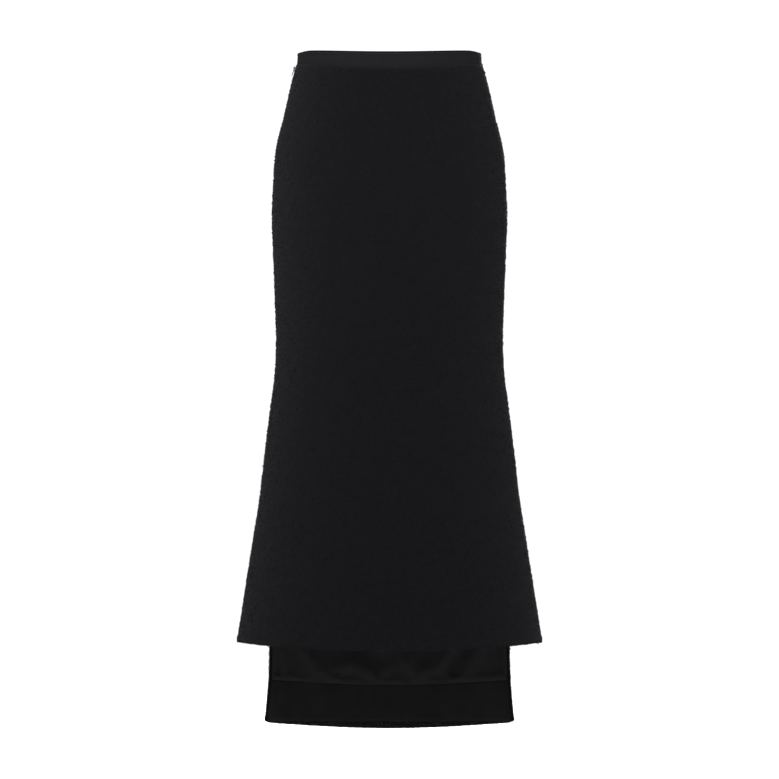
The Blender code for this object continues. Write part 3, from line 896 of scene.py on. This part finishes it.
# Each seam's turnings: where the seam runs, how far they reach to either side of it, their top, and the panel
# that they lie on. The side seams are pressed open, and the back seams towards the sides.
ALLOWANCES = {
    "right_side": (RIGHT_SEAM, 12 * MM, 12 * MM, WAIST_SEAM - 9.5 * MM, "side_back_right"),
    "left_side": (LEFT_SEAM, 12 * MM, 12 * MM, ZIP_FOOT - 0.3 * MM, "side_back_left"),
    "right_back": (RIGHT_BACK_SEAM, 11 * MM, 0.8 * MM, WAIST_SEAM - 9.5 * MM, "side_back_right"),
    "left_back": (LEFT_BACK_SEAM, 0.8 * MM, 11 * MM, WAIST_SEAM - 9.5 * MM, "side_back_left"),
}
ALLOWANCE_FOOT = HEM + 38.3 * MM
TURNING_INSET = BOUCLE + 0.1 * MM
TURNED_UP = (HEM + 2 * MM, HEM + 38 * MM)
TURNED_IN = (BACK_HEM + 1.5 * MM, HEM + 40 * MM)
# How far a turned-in edge reaches past its seam, as a share of the way there from the centre back.
PAST_SEAM = 0.001
SEAM_GROOVE = Band(0.9 * MM, 0.0, 0.8 * MM)
OVERLOCK_SPACING = 4.5 * MM
NARROWEST_SIDE_TURNING = 0.0101


def turned_up_sides(level):
    turn = BACK_TURN - back_seam_turn(level)
    return -turn, turn


def turning_shape(place):
    """A turning is pressed flat, thins at its raw edge and puckers a little."""
    return waves(place.point, 12 * MM, 21) * 0.25 * MM - np.where(place.inner, 0.1 * MM, 0.0)


def allowance_shape(place):
    """Pressed flat, with the seam's groove down the middle where it is pressed open."""
    return turning_shape(place) - np.where(place.inner, banded(SEAM_GROOVE, place.across), 0.0)


def beside(seam, before, after, level):
    """Turns that lie so far before and after a seam."""
    turn = seam(level)
    reach = np.linalg.norm(across_surface(turn, level), axis=-1) / (2 * SURFACE_STEP)
    return turn - before / reach, turn + after / reach


def overlock(name, turns, levels, thread):
    """A row of slanting stitches over a raw edge inside the skirt."""
    places = frames_on(turns, levels, TURNING_INSET + 1.45 * MM, slant=0.5)
    return add_stitches(name, places, 4.2 * MM, thread, 0.45 * MM, sides=5, rings=4)


def make_seam_allowances():
    """The seams' turnings inside, overlocked at their raw edges."""
    ground, thread = boucle_material("boucle_allowance"), thread_material("overlock_thread", 0.56)
    for name, (seam, before, after, top, panel) in ALLOWANCES.items():
        pressed_open = before == after
        columns = 12 if pressed_open else 4
        cut = Cut(partial(beside, seam, before, after), (ALLOWANCE_FOOT, top), (150,), columns)
        strip, size = add_cloth(
            f"{name}_allowance", cut, ground, TURNING_INSET, 1.4 * MM,
            allowance_shape if pressed_open else turning_shape)
        levels = np.arange(ALLOWANCE_FOOT + 3 * MM, top - 2 * MM, OVERLOCK_SPACING)
        edges = zip(beside(seam, before - MM, after - MM, levels), (before, after))
        rows = [turns for turns, reach in edges if reach > 5 * MM]
        stitches = overlock(f"{name}_overlock", np.concatenate(rows), np.tile(levels, len(rows)), thread)
        declare_sheet(size)


def make_turnings():
    """The boucle turned up inside the hem, and turned in at the sides of the longer back."""
    ground, thread = boucle_material("boucle_turning"), thread_material("hem_overlock_thread", 0.56)
    cut = Cut(turned_up_sides, TURNED_UP, (9,), 240)
    hem, size = add_cloth(
        "hem_turning", cut, ground, TURNING_INSET, 1.5 * MM, turning_shape, free=SEAM_GAP / 2)
    level = TURNED_UP[1] - MM
    turns = spaced_turns(*sides_at(turned_up_sides, level), level, OVERLOCK_SPACING)
    stitches = overlock("hem_overlock", turns, np.full(len(turns), level), thread)
    declare_sheet(size)
    inward, outer = 1 - SIDE_TURN_IN, 1 + PAST_SEAM
    for side, sides in (
        ("left", between(back_line(inward), back_line(outer))),
        ("right", between(back_line(-outer), back_line(-inward))),
    ):
        cut = Cut(sides, TURNED_IN, (50,), 4)
        strip, (width, *rest) = add_cloth(
            f"side_turning_{side}", cut, ground, TURNING_INSET, 1.1 * MM, turning_shape)
        size = (max(width, NARROWEST_SIDE_TURNING), *rest)
        declare_sheet(size)


# --- waistband ---------------------------------------------

# The ribbon's woven edges stand a little proud, with a groove below the upper one.
RIBBON_FOOT_EDGE = Band(-0.10 * MM, 0.9 * MM, 0.6 * MM)
RIBBON_TOP_EDGE = Band(-0.30 * MM, 2.1 * MM, 0.6 * MM)
RIBBON_GROOVE = Band(0.45 * MM, 3.3 * MM, 0.4 * MM)
RIBBON_CORNER = Band(0.35 * MM, 0.0, 0.4 * MM)
SELVEDGE_MIDDLE, SELVEDGE_REACH = 0.6 * MM, 0.55 * MM

# Thin strips painted along the ribbon: the dark one is painted shade over the groove below the upper edge,
# and the pale one a painted highlight on that edge. How far the foot of each is below the ribbon's top, its
# height, how far in it lies, and its share of the ribbon's lightness.
Line = namedtuple("Line", "name foot height inset share")
PAINTED_RIBBON_LINES = [
    Line("dark", 3.55 * MM, 0.60 * MM, -0.06 * MM, 0.76),
    Line("pale", 2.75 * MM, 0.80 * MM, -0.34 * MM, 1.60),
]
# The band's top dips at the sides: fully within the first of these angles from a side seam, in degrees, and
# not at all past the second.
BAND_DIP = 1.7 * MM
BAND_DIP_FULL, BAND_DIP_END = 14.0, 33.0
PAINTED_LINE_HEIGHT_SHARE = 0.75
BAND_COLUMNS = 260
BAND_STITCH_HEIGHT = 2.2 * MM
BAND_STITCH_DEPTHS = (0.02 * MM, BOUCLE + 0.27 * MM)


def ribbon_shape(place):
    """How far in the ribbon's outer face lies, with its edges and its groove."""
    outer = banded(RIBBON_FOOT_EDGE, place.to_foot) + banded(RIBBON_TOP_EDGE, place.to_top)
    outer = outer + banded(RIBBON_GROOVE, place.to_top) + banded(RIBBON_CORNER, place.to_top)
    return np.where(place.inner, -0.1 * MM, outer)


def selvedge_shape(place):
    middle = bell(place.to_foot - SELVEDGE_MIDDLE, SELVEDGE_REACH) * MM
    return np.where(place.inner, 0.25 * middle, -0.35 * middle)


def band_dip(turn):
    """How much lower the band's top edge lies there."""
    from_seam = np.degrees(np.arcsin(np.abs(np.cos(turn))))
    return BAND_DIP * eased((BAND_DIP_END - from_seam) / (BAND_DIP_END - BAND_DIP_FULL))


def band_drop(place):
    return band_dip(place.turn) * (place.to_foot / (place.to_foot + place.to_top)) ** 2


def selvedge_drop(place):
    return band_dip(place.turn)


# How much lower the strips of painted shade and painted highlight lie, as the band's top dips.
def painted_line_drop(place):
    return band_dip(place.turn) * PAINTED_LINE_HEIGHT_SHARE**2


def add_stitches(name, places, length, material, width=0.34 * MM, sides=6, rings=5):
    """Stitches, each a spindle of thread along the X of its place."""
    stitch = bmesh.new()
    bmesh.ops.create_uvsphere(stitch, u_segments=sides, v_segments=rings, radius=0.5)
    along = Matrix.Rotation(math.pi / 2, 3, "Y")
    bmesh.ops.rotate(stitch, cent=(0, 0, 0), matrix=along, verts=stitch.verts)
    bmesh.ops.scale(stitch, vec=(length, width, width), verts=stitch.verts)
    return add_copies(name, stitch, places, material)


def make_waistband():
    """The ribbon, its selvedge, its strips of painted shade and highlight, and the stitches that sew it on.
    """
    ribbon, thread = ribbon_material("ribbed_ribbon"), thread_material("sewing_thread")
    edge = thread_material("ribbon_selvedge", 0.048)
    band_edges = (WAIST_SEAM, WAIST_SEAM + 2 * MM, BAND_TOP - 4 * MM, BAND_TOP)
    cut = Cut(ALL_ROUND, band_edges, (5, 5, 12), BAND_COLUMNS)
    band, size = add_cloth(
        "waistband_ribbon", cut, ribbon, 0.0, RIBBON - THINNER, ribbon_shape, band_drop)
    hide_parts("waistband")
    cut = Cut(ALL_ROUND, (BAND_TOP - 1.2 * MM, BAND_TOP + 0.1 * MM), (4,), BAND_COLUMNS)
    selvedge, _ = add_cloth(
        "waistband_selvedge", cut, edge, -0.05 * MM, RIBBON - 0.2 * MM, selvedge_shape,
        selvedge_drop)
    # Two thin strips: a dark one, painted shade for the groove, and a pale one, painted highlight for the
    # edge above it.
    for line in PAINTED_RIBBON_LINES:
        foot = BAND_TOP - line.foot
        cut = Cut(ALL_ROUND, (foot, foot + line.height), (2,), BAND_COLUMNS)
        material = thread_material(f"ribbon_{line.name}_line", line.share)
        strip, _ = add_cloth(
            f"waistband_{line.name}_line", cut, material, line.inset, 0.5 * MM, drop=painted_line_drop)
    level = WAIST_SEAM + BAND_STITCH_HEIGHT
    turns = spaced_turns(-RIGHT_TURN + 0.02, LEFT_TURN - 0.02, level, 2.9 * MM)
    places = np.concatenate([frames_on(turns, level, depth) for depth in BAND_STITCH_DEPTHS])
    stitches = add_stitches("waistband_stitches", places, 2.2 * MM, thread)
    declare_sheet(size)
    make_waist_tape()


def make_waist_tape():
    """The tape over the waist seam's turnings, inside: all the way round, short of the zip's slider."""
    sides = between(steady(WAIST_TAPE_GAP - RIGHT_TURN), steady(LEFT_TURN - WAIST_TAPE_GAP))
    cut = Cut(sides, (WAIST_SEAM - 9 * MM, WAIST_SEAM + 3 * MM), (6,), 240)
    tape, size = add_cloth(
        "waist_tape", cut, tape_material("waist_tape_weave"), BOUCLE - 0.25 * MM, 0.5 * MM,
        free=SEAM_GAP / 2)
    declare_sheet(size)


# --- lining and facing -------------------------------------

# The lining's foot rolls back under, onto the facing, which lifts it there.
LINING_ROLL_MIDDLE, LINING_ROLL_REACH = 6 * MM, 6 * MM
OVER_FACING = Band(0.8 * MM, 0.0, 7 * MM)
LINING_SLACK, LINING_WAVE = 0.4 * MM, 30 * MM
LINING_HELD_FOOT, LINING_HELD_SIDE = 3 * MM, 6 * MM
# Where the boucle's turned-in edges lift what lies over them: how much, and where that ends.
EDGE_LIFT, EDGE_LIFT_END, EDGE_LIFT_SLOPE = 1.5 * MM, 17 * MM, 12 * MM
EDGE_LIFT_TOP, EDGE_LIFT_FADE = HEM + 50 * MM, 10 * MM
# The facing's foot is level from side to side, so above the hem's foot it is higher at the middle.
FACING_FOOT_SIDE, FACING_FOOT_RISE = 2.0 * MM, 7.4 * MM
FACING_FOOT_START = 0.38
FACING_STITCH_SPACING = 6.5 * MM


def fold_depth(point, folds):
    """How far slack cloth stands in: the deepest of its folds there, each longer above than below."""
    here = point[:, (0, 2)]
    deepest = np.zeros(len(here))
    for fold in folds:
        start = np.array((fold.start_x, fold.start_z))
        run = np.array((fold.end_x, fold.end_z)) - start
        part = np.clip((here - start) @ run / (run @ run), 0.0, 1.0)
        off = here - start - part[:, None] * run
        away = np.linalg.norm(off, axis=1)
        above = np.clip(off[:, 1] / np.maximum(away, 1e-6), 0.0, 1.0)
        deepest = np.maximum(deepest, fold.depth * bell(away, fold.spread * (1.0 + 1.3 * above)))
    return deepest


def over_side_turning(place):
    """How far the turned-in edge of the boucle lifts what lies over it."""
    low = np.clip((EDGE_LIFT_TOP - place.level) / EDGE_LIFT_FADE, 0.0, 1.0)
    return EDGE_LIFT * eased((EDGE_LIFT_END - place.to_side) / EDGE_LIFT_SLOPE) * low


def lining_shape(place):
    """Slack satin: its folds, and at the foot a soft roll that turns back under onto the facing."""
    folds = fold_depth(place.point, LINING_FOLDS)
    roll = bell(place.to_foot - LINING_ROLL_MIDDLE, LINING_ROLL_REACH)
    roll = roll * (0.9 + waves(place.point, LINING_WAVE, 11)) * MM
    ripples = waves(place.point, LINING_WAVE, 5) * 0.35 * MM
    held = (1.0 - bell(place.to_foot, LINING_HELD_FOOT)) * (1.0 - bell(place.to_side, LINING_HELD_SIDE))
    slack = folds + roll + ripples + LINING_SLACK
    return slack * held + banded(OVER_FACING, place.to_foot) + over_side_turning(place)


def facing_shape(place):
    return waves(place.point, 50 * MM, 9) * 0.2 * MM + 0.2 * MM + over_side_turning(place)


def facing_foot(turn):
    """How high above the hem's foot the facing's foot is."""
    part = np.clip((np.cos(turn) ** 2 - FACING_FOOT_START) / (1.0 - FACING_FOOT_START), 0.0, 1.0)
    return FACING_FOOT_SIDE + FACING_FOOT_RISE * part


def facing_drop(place):
    return (FACING_FOOT_SIDE - facing_foot(place.turn)) * (place.to_top / (place.to_foot + place.to_top))


def make_inner_back():
    """The lining behind the centre back panel and the facing at its foot."""
    inset = BOUCLE + LAYER_GAP
    satin, plain = satin_material("lining_satin"), facing_material("facing_weave")
    lining_edges = (FACING_TOP - 2 * MM, FACING_TOP + 16 * MM, HEM + 20 * MM, WAIST_SEAM - SEAM_GAP)
    cut = Cut(INNER_BACK_SIDES, lining_edges, (14, 22, 70), 130)
    lining, size = add_cloth(
        "back_lining_satin", cut, satin, inset, SATIN, lining_shape, free=SEAM_GAP / 2)
    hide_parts("back_lining")
    declare_sheet(size)
    cut = Cut(INNER_BACK_SIDES, (BACK_HEM + FACING_FOOT_SIDE, FACING_TOP), (12,), 90)
    facing, size = add_cloth(
        "back_hem_facing_cloth", cut, plain, inset, FACING_CLOTH, facing_shape, facing_drop,
        free=SEAM_GAP / 2)
    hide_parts("back_hem_facing")
    reach = 0.98 * (1 - SIDE_BARE)
    ends = sides_at(between(back_line(-reach), back_line(reach)), BACK_HEM)
    turns = spaced_turns(*ends, BACK_HEM, FACING_STITCH_SPACING)
    levels = BACK_HEM + facing_foot(turns) + 1.2 * MM
    places = frames_on(turns, levels, inset + FACING_CLOTH + 0.25 * MM, slant=0.45)
    stitches = add_stitches("facing_stitches", places, 2.4 * MM, thread_material("hem_thread"), 0.3 * MM)
    declare_sheet(size)


# --- zip and waist fastener --------------------------------

ZIP_TAPES = {
    "zip_tape_front": between(LEFT_SEAM, steady(LEFT_TURN + ZIP_TAPE_TURN)),
    "zip_tape_back": between(steady(LEFT_TURN - ZIP_TAPE_TURN), LEFT_SEAM),
}
ZIP_FACE = BOUCLE + LAYER_GAP + TAPE
COIL_PITCH, COIL_WIRE, COIL_RADIUS = 1.5 * MM, 0.26 * MM, 0.95 * MM
COIL_PART, COIL_STEPS = 0.82, 5
# How far each half of the coil is turned from the seam.
COIL_TURN = 0.004
END_STOP_SIZE = (5.0 * MM, 2.6 * MM, 1.6 * MM)
FASTENER_LEVEL = 0.0105
HOOK_STITCH_ALONG = 7.0 * MM
HOOK_STITCH_HEIGHTS = np.array((2.0, 0.7, -0.7, -2.0)) * MM


def dress_node(node, material):
    """Gives a solid that is shown as it is a finish."""
    data = bpy.data.objects[node].data
    data.materials.clear()
    data.materials.append(material)


def make_zip():
    """Tapes, coil and end stop of the concealed zip, and the finish of its slider and pull."""
    tape, metal = tape_material("zip_herringbone"), black_metal_material("black_enamel")
    for node, sides in ZIP_TAPES.items():
        cut = Cut(sides, (ZIP_FOOT, WAIST_SEAM - SEAM_GAP), (60,), 10)
        strip, size = add_cloth(f"{node}_cloth", cut, tape, BOUCLE + LAYER_GAP, TAPE)
        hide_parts(node)
        declare_sheet(size)
    levels = np.arange(ZIP_FOOT + 4 * MM, SLIDER_LEVEL - 5 * MM, COIL_PITCH)
    rows = []
    for side, rise, turned in ((-1, 0.0, 0.0), (1, COIL_PITCH / 2, math.pi)):
        turns = np.full(len(levels), LEFT_TURN + side * COIL_TURN)
        places = frames_on(turns, levels + rise, ZIP_FACE + 1.0 * MM)
        # A tooth's ring lies level, so its axis, Z, points up the zip.
        level_ring = np.array(Matrix.Rotation(-math.pi / 2, 4, "X") @ Matrix.Rotation(turned, 4, "Z"))
        rows.append(places @ level_ring)
    tooth = loop_template(COIL_WIRE, COIL_RADIUS, COIL_PART, COIL_STEPS)
    add_copies("zip_coil", tooth, np.concatenate(rows), metal)
    stop = bmesh.new()
    bmesh.ops.create_cube(stop, size=1.0)
    bmesh.ops.scale(stop, vec=END_STOP_SIZE, verts=stop.verts)
    bmesh.ops.bevel(
        stop, geom=stop.edges[:], offset=0.5 * MM, segments=3, profile=0.5, affect="EDGES", material=-1,
        clamp_overlap=True)
    place = frames_on([LEFT_TURN], [ZIP_FOOT + 2 * MM], ZIP_FACE + 0.9 * MM)[0]
    bmesh.ops.transform(stop, matrix=Matrix(place.tolist()), verts=stop.verts)
    finish_piece("zip_end_stop", new_mesh("zip_end_stop", stop), metal)
    for node in ("zip_slider", "zip_pull"):
        dress_node(node, metal)


def make_waist_fastener():
    """The finish of the waistband's hook and bar, and the stitches that hold them."""
    steel, thread = steel_material("nickel_steel"), thread_material("fastener_thread")
    for node in ("waist_hook", "waist_bar"):
        dress_node(node, steel)
    turn = LEFT_TURN + HOOK_STITCH_ALONG / read("front_depth", FASTENER_LEVEL)
    levels = FASTENER_LEVEL + HOOK_STITCH_HEIGHTS
    places = frames_on(np.full(len(levels), turn), levels, RIBBON + 1.2 * MM)
    add_stitches("hook_stitches", places, 2.6 * MM, thread, 0.4 * MM)


# --- studio ------------------------------------------------

CAMERA_DISTANCE = 4.0
CAMERA_HEIGHT = -0.4444
CAMERA_LENS_MM = 134.4
SENSOR_MM = 36.0
FLOOR_HEIGHT = -1.02
FLOOR_RADIUS = 30.0
WORLD_STRENGTH = 1.06

# The soft lamps: how wide and high each is, its power in watts, where it is and what it shines at.
Lamp = namedtuple("Lamp", "name size power place aim")
LAMPS = [
    Lamp("front_lamp", (0.8, 0.8), 34.0, (-0.35, -1.25, 0.25), (0.0, 0.0, -0.25)),
    Lamp("left_lamp", (0.5, 0.6), 3.6, (-1.05, -0.25, 0.10), (0.0, 0.0, -0.15)),
    Lamp("right_lamp", (0.5, 0.6), 8.5, (1.05, -0.35, 0.10), (0.0, 0.0, -0.15)),
    Lamp("back_lamp", (0.8, 0.8), 45.0, (0.25, 1.35, 0.20), (0.0, 0.0, -0.25)),
]


def make_floor():
    """A wide disc of pale paper, below the skirt."""
    mesh = bmesh.new()
    bmesh.ops.create_circle(mesh, cap_ends=True, segments=96, radius=FLOOR_RADIUS)
    bmesh.ops.translate(mesh, vec=(0.0, 0.0, FLOOR_HEIGHT), verts=mesh.verts)
    paper = Surface("pale_floor", (0.97, 0.97, 0.97), roughness=0.9, specular=0.1)
    paper.colours(paper.noise(paper.whole, 40.0), (0.965, 0.965, 0.965), (0.975, 0.975, 0.975))
    data = new_mesh("floor", mesh)
    data.materials.append(paper.material)
    floor = bpy.data.objects.new("floor", data)
    bpy.context.scene.collection.objects.link(floor)


def make_surroundings():
    """White all round."""
    world = bpy.data.worlds.new("white_room")
    world.use_nodes = True
    background = world.node_tree.nodes["Background"]
    background.inputs["Color"].default_value = (1.0, 1.0, 1.0, 1.0)
    background.inputs["Strength"].default_value = WORLD_STRENGTH
    bpy.context.scene.world = world


def add_lamp(lamp):
    light = bpy.data.lights.new(lamp.name, "AREA")
    light.shape, light.size, light.size_y, light.energy = "RECTANGLE", *lamp.size, lamp.power
    made = bpy.data.objects.new(lamp.name, light)
    made.visible_camera = False
    made.location = lamp.place
    made.rotation_mode = "QUATERNION"
    made.rotation_quaternion = (Vector(lamp.aim) - Vector(lamp.place)).to_track_quat("-Z", "Y")
    bpy.context.scene.collection.objects.link(made)


def add_camera():
    """The camera, level and straight ahead of the skirt."""
    scene = bpy.context.scene
    camera = bpy.data.objects.new("camera", bpy.data.cameras.new("camera"))
    camera.data.lens = CAMERA_LENS_MM
    camera.data.sensor_width = SENSOR_MM
    camera.location = (0.0, -CAMERA_DISTANCE, CAMERA_HEIGHT)
    camera.rotation_euler = (math.pi / 2, 0.0, 0.0)
    scene.collection.objects.link(camera)
    scene.camera = camera
    scene.view_settings.view_transform = "Standard"
    scene.view_settings.look = "None"


def make_studio():
    """Pale floor, white surroundings, soft light mostly from the front and the back, and the camera."""
    make_floor()
    make_surroundings()
    for lamp in LAMPS:
        add_lamp(lamp)
    add_camera()


# --- add-on ------------------------------------------------


class SKIRT_OT_boucle_panels(bpy.types.Operator):
    """Lay the four boucle panels over the skirt, with their curls of yarn"""

    bl_idname = "skirt.boucle_panels"
    bl_label = "Boucle Panels"

    def execute(self, context):
        make_boucle_panels()
        return {"FINISHED"}


class SKIRT_OT_turnings(bpy.types.Operator):
    """Turn the boucle up inside the hem and in at the sides of the longer back"""

    bl_idname = "skirt.turnings"
    bl_label = "Hem and Side Turnings"

    def execute(self, context):
        make_turnings()
        return {"FINISHED"}


class SKIRT_OT_seam_allowances(bpy.types.Operator):
    """Lay the seams' turnings inside the panels and overlock their raw edges"""

    bl_idname = "skirt.seam_allowances"
    bl_label = "Seam Allowances"

    def execute(self, context):
        make_seam_allowances()
        return {"FINISHED"}


class SKIRT_OT_waistband(bpy.types.Operator):
    """Make the ribbon waistband"""

    bl_idname = "skirt.waistband"
    bl_label = "Waistband"

    def execute(self, context):
        make_waistband()
        return {"FINISHED"}


class SKIRT_OT_inner_back(bpy.types.Operator):
    """Make the lining and the hem facing of the centre back panel"""

    bl_idname = "skirt.inner_back"
    bl_label = "Lining and Facing"

    def execute(self, context):
        make_inner_back()
        return {"FINISHED"}


class SKIRT_OT_zip(bpy.types.Operator):
    """Make the concealed zip's tapes, coil and end stop, and finish its slider and pull"""

    bl_idname = "skirt.zip"
    bl_label = "Zip"

    def execute(self, context):
        make_zip()
        return {"FINISHED"}


class SKIRT_OT_waist_fastener(bpy.types.Operator):
    """Finish and sew on the waistband's hook and bar"""

    bl_idname = "skirt.waist_fastener"
    bl_label = "Waist Fastener"

    def execute(self, context):
        make_waist_fastener()
        return {"FINISHED"}


class SKIRT_OT_studio(bpy.types.Operator):
    """Set up the floor, the light and the camera"""

    bl_idname = "skirt.studio"
    bl_label = "Studio"

    def execute(self, context):
        make_studio()
        return {"FINISHED"}


STEPS = (
    SKIRT_OT_waistband,
    SKIRT_OT_boucle_panels,
    SKIRT_OT_turnings,
    SKIRT_OT_seam_allowances,
    SKIRT_OT_inner_back,
    SKIRT_OT_zip,
    SKIRT_OT_waist_fastener,
    SKIRT_OT_studio,
)


class SKIRT_PT_sidebar(bpy.types.Panel):
    """Lists the skirt's sizes, colours and steps"""

    bl_label = "Boucle Skirt"
    bl_space_type = "VIEW_3D"
    bl_region_type = "UI"
    bl_category = "Skirt"

    def draw(self, context):
        for name in SkirtSettings.__annotations__:
            self.layout.prop(context.scene.skirt, name)
        for step in STEPS:
            self.layout.operator(step.bl_idname)


CLASSES = (SkirtSettings, *STEPS, SKIRT_PT_sidebar)


def register():
    for made in CLASSES:
        bpy.utils.register_class(made)
    bpy.types.Scene.skirt = PointerProperty(type=SkirtSettings)


def unregister():
    del bpy.types.Scene.skirt
    for made in reversed(CLASSES):
        bpy.utils.unregister_class(made)


def main():
    register()
    for step in STEPS:
        group, name = step.bl_idname.split(".")
        getattr(getattr(bpy.ops, group), name)()


if __name__ == "__main__":
    main()
